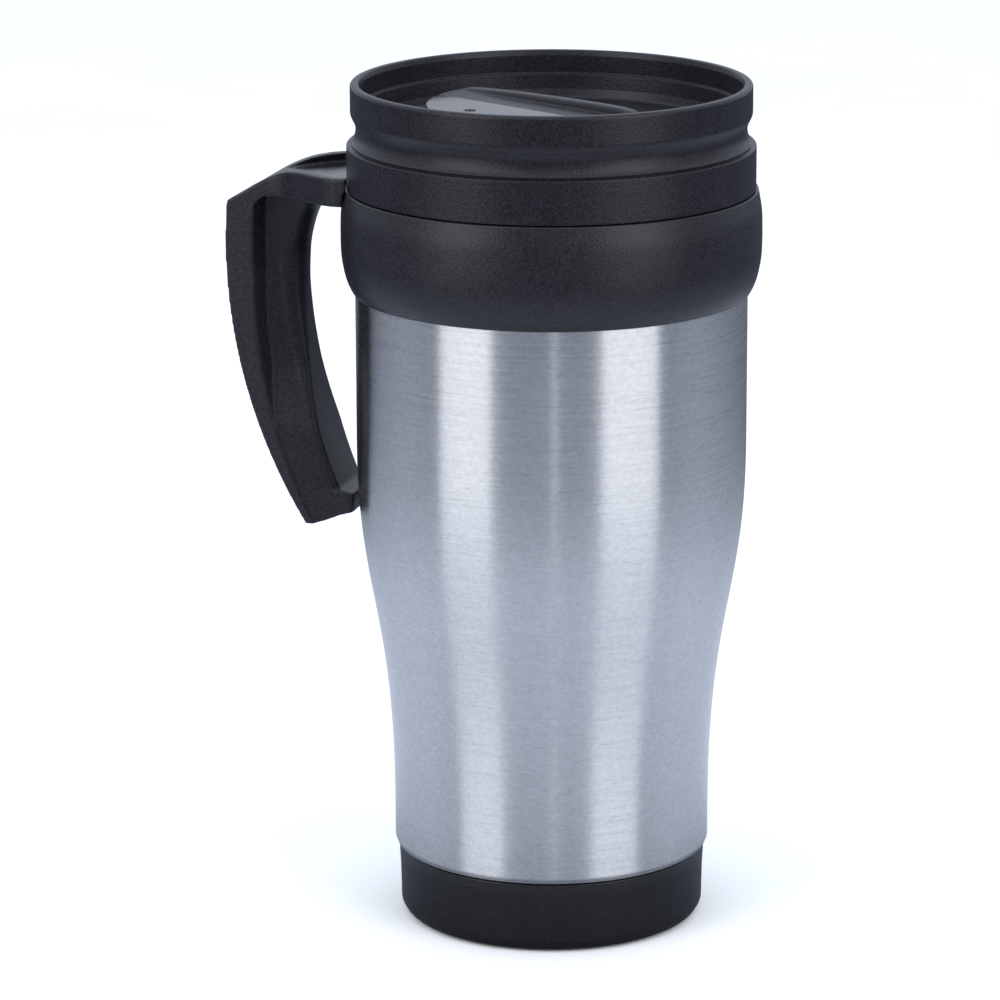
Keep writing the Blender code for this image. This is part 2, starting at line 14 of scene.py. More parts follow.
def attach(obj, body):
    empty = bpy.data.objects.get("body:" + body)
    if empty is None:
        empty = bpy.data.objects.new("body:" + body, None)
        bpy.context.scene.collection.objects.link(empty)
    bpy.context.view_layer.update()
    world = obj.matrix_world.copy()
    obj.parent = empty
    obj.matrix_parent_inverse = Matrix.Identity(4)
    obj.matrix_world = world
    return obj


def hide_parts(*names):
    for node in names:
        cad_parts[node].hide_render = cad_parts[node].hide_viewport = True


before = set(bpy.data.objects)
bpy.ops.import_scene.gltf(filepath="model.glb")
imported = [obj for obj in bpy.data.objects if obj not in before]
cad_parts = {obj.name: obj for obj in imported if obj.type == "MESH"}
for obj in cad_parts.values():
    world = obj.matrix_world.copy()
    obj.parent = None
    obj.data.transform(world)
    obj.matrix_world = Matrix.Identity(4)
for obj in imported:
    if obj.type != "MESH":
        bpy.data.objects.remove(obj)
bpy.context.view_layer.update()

MM = 0.001
AROUND = 192             # steps round a turned piece
AROUND_SHELL = 288       # the same for the sleeve, whose reflections show every step
AROUND_STEM = 64
GRID = (0.3, 4)          # grid and smoothing passes that round a large moulding
FINE_GRID = (0.25, 3)    # the same for a small one
GAP = 0.3                # between one piece and the next

# Steel outer shell
SHELL_WALL = 0.5
SHELL_LOW_R = 32.88      # straight lower part
SHELL_TOP_R = 40.25      # straight upper part
SHELL_Z = (15.3, 140.0)
SWELL_Z = (22.0, 67.0, 68.0, 101.5)  # Bezier heights of the swell between the two straight parts

# Inner liner and its neck
LINER_WALL = 1.6
LINER_INSET = 3.1        # from the shell's outside to the liner's
LINER_BOTTOM_Z = 6.5
NECK_Z = 137.5           # where the liner widens into its neck
NECK_TOP_Z = 161.2
NECK_R = 38.6            # outside of the neck
BORE_R = 36.9            # inside of the neck
SEAM_Z = 154.5           # between collar and lid
NECK_BEAD = 0.8          # height of the bead round the neck above the seam

# Collar
COLLAR_TOP_Z = 154.3
COLLAR_BOTTOM_Z = 132.9
SOCKET_LOW_Z = 145.0
HOOK_HALF = 9.0          # half width of the handle's hook
HOOK_STEM_HALF = 6.5

# Base
CAP_R = 32.0
CAP_TOP_Z = 14.95
SPIGOT_R = 31.43
SPIGOT_TOP_Z = 24.0
SPIGOT_WALL = 1.2
CAP_FLOOR_Z = (1.5, 3.3)
PAD_R = 27.5
PAD_TOP_Z = 1.2
PAD_GROOVES = (9.0, 15.5, 22.0)

# Lid
HEIGHT = 176.0
RIM_R = 40.95
RIM_INNER_R = 38.95
WAIST_R = 39.85
SKIRT_R = 41.76
SKIRT_INNER_R = 39.95
SKIRT_TOP_Z = 163.35
SKIRT_LOW_Z = 154.5      # two tenths above the collar
PLUG_R = 35.3
PLUG_WALL = 1.8
PLUG_LOW_Z = 146.5
DECK_TOP_Z = 166.0
DECK_UNDER_Z = 163.7
THROUGH_DECK = (160, 168)  # height of what is cut through the deck
LEAD = 5.0
THREAD_TURNS = 1.25
THREAD_Z = 149.0
THREAD_EMBED = 0.4       # how far a thread's root lies inside its wall
THREAD_GAP = 0.4         # from a thread's crest to the other wall
GASKET_Z = (161.5, 163.4)
DRINK_HOLE_AWAY = 18.0   # from the axis towards -Y
DRINK_HOLE_HALF = (5.5, 3.8)

# Closure
CLOSURE_R = 25.6
CLOSURE_TOP_Z = 171.5
PLATE_WALL = 1.8
RIB_ANGLE = -29.0
RIB_TOP_Z = 173.2
RIB_HALF = 1.7
GRAINED_HALF = 8.4       # half width of the grained band along the rib
HUB_R = 5.0              # the plate's straight edge bulges round the stem by this radius
HUB_WALL = 2.0
STEM_R = 3.9
STEM_Z = (160.0, 170.6)  # its lower end, and its upper end inside the plate
THROUGH_PLATE = (160, 175)  # height of what is cut through the plate
GROOVE_R = 3.2           # groove of the stem that holds the washer
GROOVE_Z = (161.6, 163.4)
WASHER = (3.5, 7.5)      # inner and outer radius
WASHER_Z = (161.9, 163.1)
VENT_R = 18.3            # distance of the vents from the axis
VENT_HOLE_R = 1.15
VENT_ANGLE = 221.0
OPEN_TURN = -85.0        # the closure's turn that brings its vent over the deck's
SEAL_AWAY = 18.3
SEAL_R = 6.6
SEAL_STRETCH = 0.742     # the seal's width along Y over its width along X

# Handle
HANDLE_HALF = 9.3
OUTER_ARC = (-42.7, 140.2, 109.95)  # distance, height and radius of the arc of the outer edge
INNER_ARC = (-58.2, 131.5, 110.3)   # the same for the tip of the side that faces the mug
HANDLE_TOP_Z = 149.8
HANDLE_END_Z = 82.0
ARM_UNDER_Z = 151.2
ARM_TOP_Z = 157.0
WING_HALF = 17.3         # half width of the arm where it meets the collar
FLARE_LOW_Z = 140.0      # below this height nothing is wider than the spine
FLANGE = 2.3
WEB_Z = 155.2            # floor of the arm's channel
SPINE = (5.9, 1.8)       # thickness of the grip's wide outer spine at its top and at its end
SPINE_EVEN_Z = 134.0     # above this height the spine keeps its thickness
BODY_HALF = 5.1          # half width of the grip's narrow body where it is half-round
BODY_LEAN = 1.0          # how much wider the body is at its root
WALL_SLOPE = 0.56        # slope of the spine's step down to the body
NOSE_TOP_Z = 132.5       # below this height the body has a flat nose
NOSE_GROWTH = 0.225      # growth of the nose's half width over the drop in height
NOSE_MOST = 6.9
NOSE_CORNER = 1.2        # corner radius of the fully grown nose
RECESS_ROUND = 3.6
FOOT_Z = (85.2, 88.8)    # heights of the foot, which ends close to the shell
FAR = 30                 # how far sideways the handle's cutters reach
BEHIND = -75             # how far out they reach
BLANK_HALF = 20          # half width of the handle before its sides are cut
RECESS_HALF = 25         # half width of the cutter that frees the finger side


# ---------------------------------------------------------------- outlines

def polar(radius, degrees):
    return (radius * math.cos(math.radians(degrees)), radius * math.sin(math.radians(degrees)))


def arc(centre, radius, start, end, steps):
    angles = [start + (end - start) * i / steps for i in range(steps + 1)]
    return [(centre[0] + polar(radius, a)[0], centre[1] + polar(radius, a)[1]) for a in angles]


def spline(points, steps=5):
    """A smooth curve through the points, which stay on it (Catmull-Rom)."""
    padded = [points[0]] + list(points) + [points[-1]]
    made = []
    for a, b, c, d in zip(padded, padded[1:], padded[2:], padded[3:]):
        for i in range(steps):
            t = i / steps
            made.append(tuple(
                0.5 * (2 * q + (r - p) * t
                       + (2 * p - 5 * q + 4 * r - s) * t * t
                       + (3 * q - p - 3 * r + s) * t ** 3)
                for p, q, r, s in zip(a, b, c, d)
            ))
    return made + [tuple(points[-1])]


def rounded(points, closed, steps=5):
    """Rounds each corner that carries a radius as its third number."""
    made, count = [], len(points)
    for i, point in enumerate(points):
        here = Vector(point[:2])
        inside = closed or 0 < i < count - 1
        if len(point) < 3 or not inside:
            made.append(tuple(here))
            continue
        to_last = Vector(points[i - 1][:2]) - here
        to_next = Vector(points[(i + 1) % count][:2]) - here
        half = to_last.angle(to_next) / 2
        reach = min(point[2] / math.tan(half), 0.45 * to_last.length, 0.45 * to_next.length)
        start = here + to_last.normalized() * reach
        end = here + to_next.normalized() * reach
        middle = (to_last.normalized() + to_next.normalized()).normalized()
        centre = here + middle * (reach / math.cos(half))
        for k in range(steps + 1):
            t = k / steps
            spoke = (start - centre).lerp(end - centre, t)
            made.append(tuple(centre + spoke.normalized() * (start - centre).length))
    return made


def supported(points, closed, near=0.12, long=1.0):
    """Adds a point close to both ends of each long straight, so that it shades as flat."""
    made, count = [], len(points)
    for i, point in enumerate(points):
        made.append(tuple(point))
        if i == count - 1 and not closed:
            break
        here, there = Vector(point), Vector(points[(i + 1) % count])
        step = there - here
        if step.length > long:
            made.append(tuple(here + step.normalized() * near))
            made.append(tuple(there - step.normalized() * near))
    return made


def swell(inset, steps=40):
    """The shell's swell from its top down, moved inwards: a Bezier curve of radius on height."""
    points = []
    for i in range(steps + 1):
        t = 1 - i / steps
        share = t * t * (3 - 2 * t)
        weights = ((1 - t) ** 3, 3 * (1 - t) ** 2 * t, 3 * (1 - t) * t * t, t ** 3)
        height = sum(w * z for w, z in zip(weights, SWELL_Z))
        points.append((SHELL_LOW_R + (SHELL_TOP_R - SHELL_LOW_R) * share - inset, height))
    return points


# ---------------------------------------------------------------- meshes

def add(name, mesh):
    obj = bpy.data.objects.new(name, mesh)
    bpy.context.scene.collection.objects.link(obj)
    return obj


def from_shape(name, shape):
    bmesh.ops.recalc_face_normals(shape, faces=shape.faces)
    mesh = bpy.data.meshes.new(name)
    shape.to_mesh(mesh)
    shape.free()
    return add(name, mesh)


def turned(name, profile, closed=True, around=AROUND):
    """A turned piece. A profile that isn't closed starts and ends on the axis."""
    points = supported(rounded(profile, closed), closed)
    shape = bmesh.new()
    rings = []
    for radius, height in points:
        if radius < 1e-6:
            rings.append([shape.verts.new((0, 0, height * MM))] * around)
            continue
        rings.append([
            shape.verts.new((*polar(radius * MM, 360 * k / around), height * MM)) for k in range(around)
        ])
    pairs = list(zip(rings, rings[1:])) + ([(rings[-1], rings[0])] if closed else [])
    for one, two in pairs:
        for k in range(around):
            corners = [one[k], one[(k + 1) % around], two[(k + 1) % around], two[k]]
            corners = [v for i, v in enumerate(corners) if v not in corners[:i]]
            shape.faces.new(corners)
    return from_shape(name, shape)


def prism(name, outline, low, high, upright=False):
    """A flat outline given thickness: in plan from height low to high, or upright (x, z) along Y."""
    shape = bmesh.new()
    ends = []
    for level in (low, high):
        corners = [(x, level, z) if upright else (x, z, level) for x, z in outline]
        ends.append([shape.verts.new(Vector(corner) * MM) for corner in corners])
    shape.faces.new(ends[0])
    shape.faces.new(ends[1][::-1])
    for k in range(len(outline)):
        n = (k + 1) % len(outline)
        shape.faces.new([ends[0][k], ends[0][n], ends[1][n], ends[1][k]])
    return from_shape(name, shape)


def rod(name, radius, low, high, centre=(0.0, 0.0), stretch=1.0, sides=48):
    """An upright cylinder, or an oval one that is narrower along Y."""
    circle = [(centre[0] + x, centre[1] + y * stretch) for x, y in arc((0, 0), radius, 0, 360, sides)[:-1]]
    return prism(name, circle, low, high)


def loft(name, rings):
    """A solid through rings that all have the same count of points, which are in metres."""
    shape = bmesh.new()
    made = [[shape.verts.new(point) for point in ring] for ring in rings]
    for one, two in zip(made, made[1:]):
        for i in range(len(one)):
            n = (i + 1) % len(one)
            shape.faces.new([one[i], one[n], two[n], two[i]])
    shape.faces.new(made[0])
    shape.faces.new(made[-1][::-1])
    return from_shape(name, shape)


def ridge(name, root, crest, low_z, steps=240):
    """A helical thread ridge that fades in and out at its ends."""
    rings = []
    for i in range(steps + 1):
        share = i / steps
        grown = min(1.0, 14 * min(share, 1 - share) + 0.12)
        top = root + (crest - root) * grown
        height = low_z + LEAD * THREAD_TURNS * share
        section = [(root, 1.0), (top, 0.45), (top, -0.45), (root, -1.0)]
        angle = 360 * THREAD_TURNS * share
        rings.append([(*polar(r * MM, angle), (height + z) * MM) for r, z in section])
    return loft(name, rings)


def apply(obj):
    """Replaces the object's mesh by what its modifiers make of it."""
    bpy.context.view_layer.update()
    graph = bpy.context.evaluated_depsgraph_get()
    mesh = bpy.data.meshes.new_from_object(obj.evaluated_get(graph))
    obj.modifiers.clear()
    obj.data = mesh
    return obj


def combine(obj, cuts=(), joins=()):
    """Joins and then cuts with other solids, which are used up."""
    for operation, others in (("UNION", joins), ("DIFFERENCE", cuts)):
        for other in others:
            step = obj.modifiers.new(operation, "BOOLEAN")
            step.operation = operation
            step.solver = "EXACT"
            step.object = other
            apply(obj)
            bpy.data.objects.remove(other)
    return obj


def moulded(obj, grid_and_passes=GRID):
    """Rounds every edge as a moulding has them: a fine grid over the solid, relaxed a little."""
    voxel, passes = grid_and_passes
    grid = obj.modifiers.new("Grid", "REMESH")
    grid.mode = "VOXEL"
    grid.voxel_size = voxel * MM
    relax = obj.modifiers.new("Relax", "SMOOTH")
    relax.factor = 0.5
    relax.iterations = passes
    return apply(obj)


def finish_piece(obj, body, material, sharp=40):
    """Shades the piece, gives it its material, hangs it on its CAD body and hides the CAD part that it
    replaces.

    Edges sharper than the angle sharp stay sharp; all others are shaded smooth.
    """
    node = obj.name[:-len("_look")]
    obj.data.materials.clear()
    obj.data.materials.append(material)
    obj.data.shade_smooth()
    obj.data.set_sharp_from_angle(angle=math.radians(sharp))
    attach(obj, body)
    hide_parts(node)
    return obj


# ---------------------------------------------------------------- materials

class Tree:
    """A material's node tree with short calls for making and linking nodes."""

    def __init__(self, name):
        self.material = bpy.data.materials.new(name)
        self.material.use_nodes = True
        self.nodes = self.material.node_tree.nodes
        self.links = self.material.node_tree.links
        self.shader = self.nodes["Principled BSDF"]
        self.place = self.node("ShaderNodeTexCoord").outputs["Object"]

    def node(self, kind, **settings):
        made = self.nodes.new(kind)
        for key, value in settings.items():
            setattr(made, key, value)
        return made

    def feed(self, socket, value):
        if isinstance(value, bpy.types.NodeSocket):
            self.links.new(value, socket)
        else:
            socket.default_value = value

    def stretched(self, scale):
        mapping = self.node("ShaderNodeMapping")
        self.feed(mapping.inputs["Vector"], self.place)
        mapping.inputs["Scale"].default_value = scale
        return mapping.outputs["Vector"]

    def noise(self, scale, detail=2.0, rough=0.5, place=None):
        made = self.node("ShaderNodeTexNoise")
        self.feed(made.inputs["Vector"], place or self.place)
        made.inputs["Scale"].default_value = scale
        made.inputs["Detail"].default_value = detail
        made.inputs["Roughness"].default_value = rough
        return made.outputs["Fac"]

    def ranged(self, value, low, high, start=0.3, end=0.7):
        made = self.node("ShaderNodeMapRange")
        self.feed(made.inputs["Value"], value)
        made.inputs["From Min"].default_value = start
        made.inputs["From Max"].default_value = end
        made.inputs["To Min"].default_value = low
        made.inputs["To Max"].default_value = high
        return made.outputs["Result"]

    def sum(self, one, two, share):
        """one * (1 - share) + two * share"""
        made = self.node("ShaderNodeMix", data_type="FLOAT")
        made.inputs[0].default_value = share
        self.feed(made.inputs[2], one)
        self.feed(made.inputs[3], two)
        return made.outputs[0]

    def tint(self, factor, dark, light):
        """The colour dark where factor is 0 and the colour light where it is 1."""
        made = self.node("ShaderNodeMix", data_type="RGBA")
        self.feed(made.inputs[0], factor)
        for socket, colour in ((made.inputs[6], dark), (made.inputs[7], light)):
            self.feed(socket, (*colour, 1.0) if isinstance(colour, tuple) else colour)
        return made.outputs[2]

    def bump(self, height, strength, distance):
        made = self.node("ShaderNodeBump")
        made.inputs["Strength"].default_value = strength
        made.inputs["Distance"].default_value = distance
        self.feed(made.inputs["Height"], height)
        return made.outputs["Normal"]

    def set(self, **values):
        """Sets the shader's sockets, whose names have _ for a space, to values or other nodes' outputs."""
        for key, value in values.items():
            self.feed(self.shader.inputs[key.replace("_", " ")], value)
        return self.material


def grained_plastic(name, dark, light, rough=(0.32, 0.42), grain=0.5, level=0.34):
    """Moulded plastic with a fine spark-eroded grain."""
    tree = Tree(name)
    fine = tree.noise(2600, 2.0, 0.6)
    pits = tree.noise(2100, 1.0, 0.5)
    cloud = tree.noise(160, 3.0, 0.6)
    skin = tree.sum(fine, pits, 0.5)
    return tree.set(
        Base_Color=tree.tint(tree.ranged(tree.sum(cloud, pits, 0.85), 0, 1, 0.35, 0.65), dark, light),
        Roughness=tree.ranged(tree.sum(pits, cloud, 0.4), *rough),
        Normal=tree.bump(skin, grain, 0.00016),
        Specular_IOR_Level=level,
        IOR=1.5,
    )


def smooth_plastic(name, dark, light, rough):
    """Moulded plastic from a polished part of the mould, with a faint ripple."""
    tree = Tree(name)
    cloud = tree.noise(140, 3.0, 0.6)
    ripple = tree.noise(320, 2.0, 0.5)
    return tree.set(
        Base_Color=tree.tint(tree.ranged(cloud, 0, 1), dark, light),
        Roughness=tree.ranged(ripple, *rough),
        Normal=tree.bump(ripple, 0.05, 0.0001),
        IOR=1.5,
    )


def brushed_steel():
    """Steel sleeve brushed round its axis: short fine scratches with a few longer ones among them."""
    tree = Tree("brushed_steel_look")
    fine = tree.noise(1.0, 3.0, 0.6, tree.stretched((90, 90, 5200)))
    broad = tree.noise(1.0, 2.0, 0.5, tree.stretched((28, 28, 1500)))
    mottle = tree.noise(1.0, 2.0, 0.6, tree.stretched((900, 900, 1300)))
    streak = tree.sum(fine, broad, 0.4)
    round_z = tree.node("ShaderNodeTangent", direction_type="RADIAL", axis="Z")
    return tree.set(
        Base_Color=tree.tint(tree.ranged(tree.sum(streak, mottle, 0.6), 0, 1, 0.36, 0.64),
                             (0.47, 0.48, 0.50), (0.57, 0.58, 0.60)),
        Metallic=1.0,
        Roughness=tree.ranged(streak, 0.25, 0.32),
        Anisotropic=0.98,
        Anisotropic_Rotation=0.25,
        Tangent=round_z.outputs["Tangent"],
        Normal=tree.bump(streak, 0.05, 0.00003),
    )


def silicone(name, dark, light):
    """Soft matt rubber with a dusty bloom."""
    tree = Tree(name)
    fine = tree.noise(2600, 2.0, 0.6)
    cloud = tree.noise(220, 3.0, 0.6)
    return tree.set(
        Base_Color=tree.tint(tree.ranged(cloud, 0, 1), dark, light),
        Roughness=tree.ranged(fine, 0.55, 0.72),
        Normal=tree.bump(fine, 0.15, 0.00006),
        IOR=1.43,
    )


def floor_paint():
    """Pale matt sweep with a very faint mottle.

    Only the lens sees it as pale as that. For all other rays its colour carries painted light and shade:
    painted shade right beside the mug, a painted ring of light round it that lights the mug's sides without
    washing them out, and painted dimming further out.
    """
    tree = Tree("floor_look")
    cloud = tree.noise(9, 3.0, 0.6)
    pale = tree.tint(tree.ranged(cloud, 0, 1), (0.93, 0.93, 0.93), (0.96, 0.96, 0.96))
    away = tree.node("ShaderNodeVectorMath", operation="LENGTH")
    tree.feed(away.inputs[0], tree.place)
    # painted shade beside the mug and a painted ring of light round it, by distance from the mug's axis
    shade = tree.node("ShaderNodeValToRGB")
    tree.feed(shade.inputs["Fac"], away.outputs["Value"])
    stops = shade.color_ramp.elements
    for stop, (place, colour) in zip(stops, (FLOOR_PAINTED_LIGHT[0], FLOOR_PAINTED_LIGHT[-1])):
        stop.position = place
        stop.color = (*colour, 1.0)
    for place, colour in FLOOR_PAINTED_LIGHT[1:-1]:
        stops.new(place).color = (*colour, 1.0)
    seen = tree.node("ShaderNodeLightPath").outputs["Is Camera Ray"]
    return tree.set(
        Base_Color=tree.tint(seen, shade.outputs["Color"], pale),
        Roughness=tree.ranged(cloud, 0.75, 0.85),
        Specular_IOR_Level=0.0,
    )


# ---------------------------------------------------------------- pieces

def outer_shell():
    low, top = SHELL_Z
    profile = [(SHELL_TOP_R, top, 0.1)] + swell(0) + [
        (SHELL_LOW_R, low + 1.0, 1.4),
        (SHELL_LOW_R - 0.35, low + 0.1, 0.3),
        (SHELL_LOW_R - 0.9, low, 0.1),
        (SHELL_LOW_R - 0.9, low + SHELL_WALL),
        (SHELL_LOW_R - SHELL_WALL, low + 1.7),
    ] + swell(SHELL_WALL)[::-1] + [(SHELL_TOP_R - SHELL_WALL, top, 0.1)]
    return turned("outer_shell_look", profile, around=AROUND_SHELL)


def inner_liner():
    """Plastic cup that holds the drink, with the threaded neck that the lid screws into."""
    inner = LINER_INSET + LINER_WALL
    low_r = SHELL_LOW_R - LINER_INSET
    floor_z = LINER_BOTTOM_Z + LINER_WALL
    body = [point for point in swell(LINER_INSET) if point[1] > SWELL_Z[0]]
    cavity = [point for point in swell(inner) if point[1] > SWELL_Z[0]]
    profile = [(0.0, floor_z), (low_r - LINER_WALL, floor_z, 4.5)] + cavity[::-1] + [
        (SHELL_TOP_R - inner, NECK_Z - 1.5, 1.0),
        (BORE_R, NECK_Z + 0.6, 1.0),
        (BORE_R, NECK_TOP_Z, 0.4),
        (NECK_R, NECK_TOP_Z, 0.4),
        (NECK_R, SEAM_Z + 1.6, 0.15),
        (NECK_R + NECK_BEAD, SEAM_Z + 1.3, 0.3),
        (NECK_R + NECK_BEAD, SEAM_Z + 0.2),
        (NECK_R, SEAM_Z + 0.2),
        (NECK_R, NECK_Z, 1.0),
        (SHELL_TOP_R - LINER_INSET, NECK_Z - 2.0, 1.0),
    ] + body + [
        (low_r, LINER_BOTTOM_Z, 4.0),
        (0.0, LINER_BOTTOM_Z),
    ]
    thread = ridge("neck_thread", BORE_R + THREAD_EMBED, PLUG_R + THREAD_GAP, THREAD_Z + LEAD / 2)
    return combine(turned("inner_liner_look", profile, False), joins=[thread])


def collar_side():
    """The collar's barrel-shaped side from its top down."""
    return spline([
        (42.33, 153.75), (42.55, 152.6), (42.95, 150.2), (43.1, 147.2), (43.1, 142.6),
        (42.85, 139.5), (42.2, 136.4), (41.45, 134.4), (40.95, 133.5),
    ], 6)


def socket(offset, top_z):
    """The head of the hook between handle and collar, grown by offset: an arc-shaped block."""
    inner_r, outer_r = NECK_R + GAP + 0.15 - offset, NECK_R + 2.1 + offset
    spread = math.degrees(math.asin((HOOK_HALF + offset) / outer_r))
    outline = arc((0, 0), outer_r, 180 - spread, 180 + spread, 12) + \
        arc((0, 0), inner_r, 180 + spread, 180 - spread, 12)
    return prism("hook_head", outline, SOCKET_LOW_Z - offset, top_z)


def collar():
    profile = [(41.6, COLLAR_TOP_Z), (42.25, COLLAR_TOP_Z, 0.45)] + collar_side() + [
        (40.75, COLLAR_BOTTOM_Z + 0.25, 0.2),
        (SHELL_TOP_R + GAP, COLLAR_BOTTOM_Z, 0.1),
        (SHELL_TOP_R + GAP, SHELL_Z[1] + GAP),
        (NECK_R + GAP, SHELL_Z[1] + GAP),
        (NECK_R + GAP, SEAM_Z - 0.2, 0.2),
    ]
    half = HOOK_STEM_HALF + GAP
    stem_outline = [(-48, -half), (-NECK_R - 1.0, -half), (-NECK_R - 1.0, half), (-48, half)]
    stem = prism("socket_stem", stem_outline, SOCKET_LOW_Z + 0.2, 160)
    return combine(turned("collar_look", profile), cuts=[socket(GAP, 158), stem])


def edge_at(edge, height):
    """Distance from the mug's axis to one of the grip's two arcs at a height."""
    centre, centre_z, radius = edge
    return centre + math.sqrt(radius ** 2 - (height - centre_z) ** 2)


def spine_at(height):
    """Distance from the mug's axis to the inner side of the grip's spine at a height."""
    share = min(1.0, (height - HANDLE_END_Z) / (SPINE_EVEN_Z - HANDLE_END_Z))
    return edge_at(OUTER_ARC, height) - SPINE[1] - (SPINE[0] - SPINE[1]) * share


def descent(start, end, steps):
    """Heights in even steps from start to end, both included."""
    return [start + (end - start) * i / steps for i in range(steps + 1)]


def grip_section(height, tip, steps):
    """Outline of the grip's narrow body at a height: walls towards the spine, sides and nose."""
    nose = min(NOSE_MOST, NOSE_GROWTH * max(0.0, NOSE_TOP_Z - height))
    reach = BODY_HALF + (NOSE_CORNER - BODY_HALF) * nose / NOSE_MOST
    half = max(BODY_HALF, nose + NOSE_CORNER)
    root = half + BODY_LEAN
    spine = -spine_at(max(height, HANDLE_END_Z))
    over = HANDLE_HALF + 1.0
    groove = spine + WALL_SLOPE * (HANDLE_HALF - root)
    side = [(spine - 2.0, over), (spine - WALL_SLOPE, over), (groove, root)]
    side += [(x - tip - reach, nose + y) for x, y in
             [(u * reach, v * (half - nose)) for u, v in arc((0, 0), 1.0, 90, 0, steps)]]
    return [(x, -y) for x, y in side] + side[::-1]


def grip_body():
    """The narrow body of the grip as a loft of its sections, with its foot close to the shell."""
    foot_r = SHELL_TOP_R + GAP + 0.1
    tips = spline([
        (153.0, 45.2), (ARM_UNDER_Z, 46.2), (149.8, 47.8), (147.9, 49.4), (145.0, 50.6), (141.5, 51.5),
    ], 3)
    tips += [(z, edge_at(INNER_ARC, z)) for z in descent(139.5, FOOT_Z[1] + 0.7, 30)]
    tips += [(FOOT_Z[1] + 0.3, 42.4), (FOOT_Z[1] - 0.2, foot_r), (FOOT_Z[0], foot_r)]
    tips += [(z, foot_r) for z in descent(HANDLE_END_Z + 2.0, 80.0, 4)]
    return loft("grip_body", [
        [Vector((x, y, height)) * MM for x, y in grip_section(height, tip, 16)] for height, tip in tips
    ])


def handle_blank():
    """The handle's outline from the side: outer edge, foot of the grip, and bend of the arm."""
    outer_edge = [(-edge_at(OUTER_ARC, z), z) for z in descent(HANDLE_TOP_Z, HANDLE_END_Z, 40)]
    end_and_root = [
        (-49.2, HANDLE_END_Z), (-46.6, 82.8), (-43.3, 84.1), (-39.5, 85.0),
        (-39.5, 148.0), (-36.0, 148.0), (-36.0, ARM_TOP_Z),
    ]
    bend = spline([
        (-50.0, ARM_TOP_Z), (-52.9, 156.7), (-55.6, 155.95),
        (-59.2, 154.3), (-63.1, 151.9), (-66.6, 149.95),
    ])
    return prism("handle_look", outer_edge + end_and_root + bend, -BLANK_HALF, BLANK_HALF, upright=True)


def finger_recess():
    """Cutter of everything between spine, arm and mug apart from the grip's narrow body."""
    corner_z = ARM_UNDER_Z - RECESS_ROUND
    corner = arc((-spine_at(corner_z) + RECESS_ROUND, corner_z), RECESS_ROUND, 180, 90, 14)
    spine_side = [(-spine_at(max(z, HANDLE_END_Z)), z) for z in [75.0] + descent(HANDLE_END_Z, 146.0, 40)]
    outline = spine_side + corner + [(-30, ARM_UNDER_Z), (-30, 75.0)]
    block = prism("recess", outline, -RECESS_HALF, RECESS_HALF, upright=True)
    return combine(block, cuts=[grip_body()])


def side_cutters():
    """Cutters of the sides: a flare along the arm, and the spine's even width below it."""
    flare = [(BEHIND, HANDLE_HALF), (-58, HANDLE_HALF)] + spline([
        (-57, HANDLE_HALF + 0.05), (-54.5, 10.0), (-52.0, 11.3),
        (-48.0, 14.0), (-44.5, 16.2), (-41.5, WING_HALF),
    ]) + [(-30, WING_HALF), (-30, FAR), (BEHIND, FAR)]
    beside_grip = [(BEHIND, HANDLE_HALF), (-30, HANDLE_HALF), (-30, FAR), (BEHIND, FAR)]
    cutters = []
    for side in (1, -1):
        cutters.append(prism("flare", [(x, side * y) for x, y in flare], FLARE_LOW_Z, 170))
        cutters.append(prism("grip_side", [(x, side * y) for x, y in beside_grip], 70, FLARE_LOW_Z + 1))
    return cutters


def arm_channel():
    """Cutter of the channel that is sunk into the arm's top."""
    inside = WING_HALF - FLANGE
    half_web = [(-57.0, 0.0), (-54.5, 4.0), (-52.0, 7.4), (-48.0, 10.9), (-44.5, 13.6), (-41.5, inside)]
    other_half = [(x, -y) for x, y in half_web[:0:-1]]
    return prism("arm_channel", half_web + [(-30, inside), (-30, -inside)] + other_half, WEB_Z, 165)


def collar_room():
    """Cutter of the room that collar and lid need where the arm meets them."""
    skirt_room = SKIRT_R + 0.45
    profile = [(0.0, 162.0), (skirt_room, 162.0), (skirt_room, SEAM_Z + 0.3), (42.6, 154.0)]
    profile += [(r + GAP, z) for r, z in collar_side()] + [(0.0, COLLAR_BOTTOM_Z)]
    return turned("collar_room", profile, False)


def hook_stem():
    """The stem that carries the hook's head, as an outline from the side."""
    root_r = NECK_R + 1.3
    outline = [
        (-root_r, 145.5), (-root_r, 153.6), (-46.1, 153.6),
        (-46.1, 151.7), (-43.0, 151.7), (-43.0, 145.5),
    ]
    return prism("hook_stem", outline, -HOOK_STEM_HALF, HOOK_STEM_HALF, upright=True)


def handle():
    """Arm and grip, with the T-shaped hook that sits in the collar's socket."""
    obj = handle_blank()
    recess = finger_recess()
    combine(obj, cuts=side_cutters() + [recess, arm_channel(), collar_room()])
    stem = hook_stem()
    combine(obj, joins=[socket(0.0, SEAM_Z - 0.6), stem])
    return moulded(obj)


def polish_channel(obj):
    """Gives the floor of the arm's channel, which isn't grained, the smooth plastic."""
    near_floor, facing_up = 0.35, 0.95
    obj.data.materials.append(smooth_black)
    for face in obj.data.polygons:
        if abs(face.center.z / MM - WEB_Z) < near_floor and face.normal.z > facing_up:
            face.material_index = 1


def grain_rib(obj):
    """Gives the closure's rib and the band of the plate beside it, where a finger rests, the grain."""
    across = Vector((*polar(1.0, RIB_ANGLE + 90), 0.0))
    obj.data.materials.append(lid_black)
    for face in obj.data.polygons:
        if face.center.z / MM > CLOSURE_TOP_Z - 0.1 and abs(face.center.dot(across)) / MM < GRAINED_HALF:
            face.material_index = 1


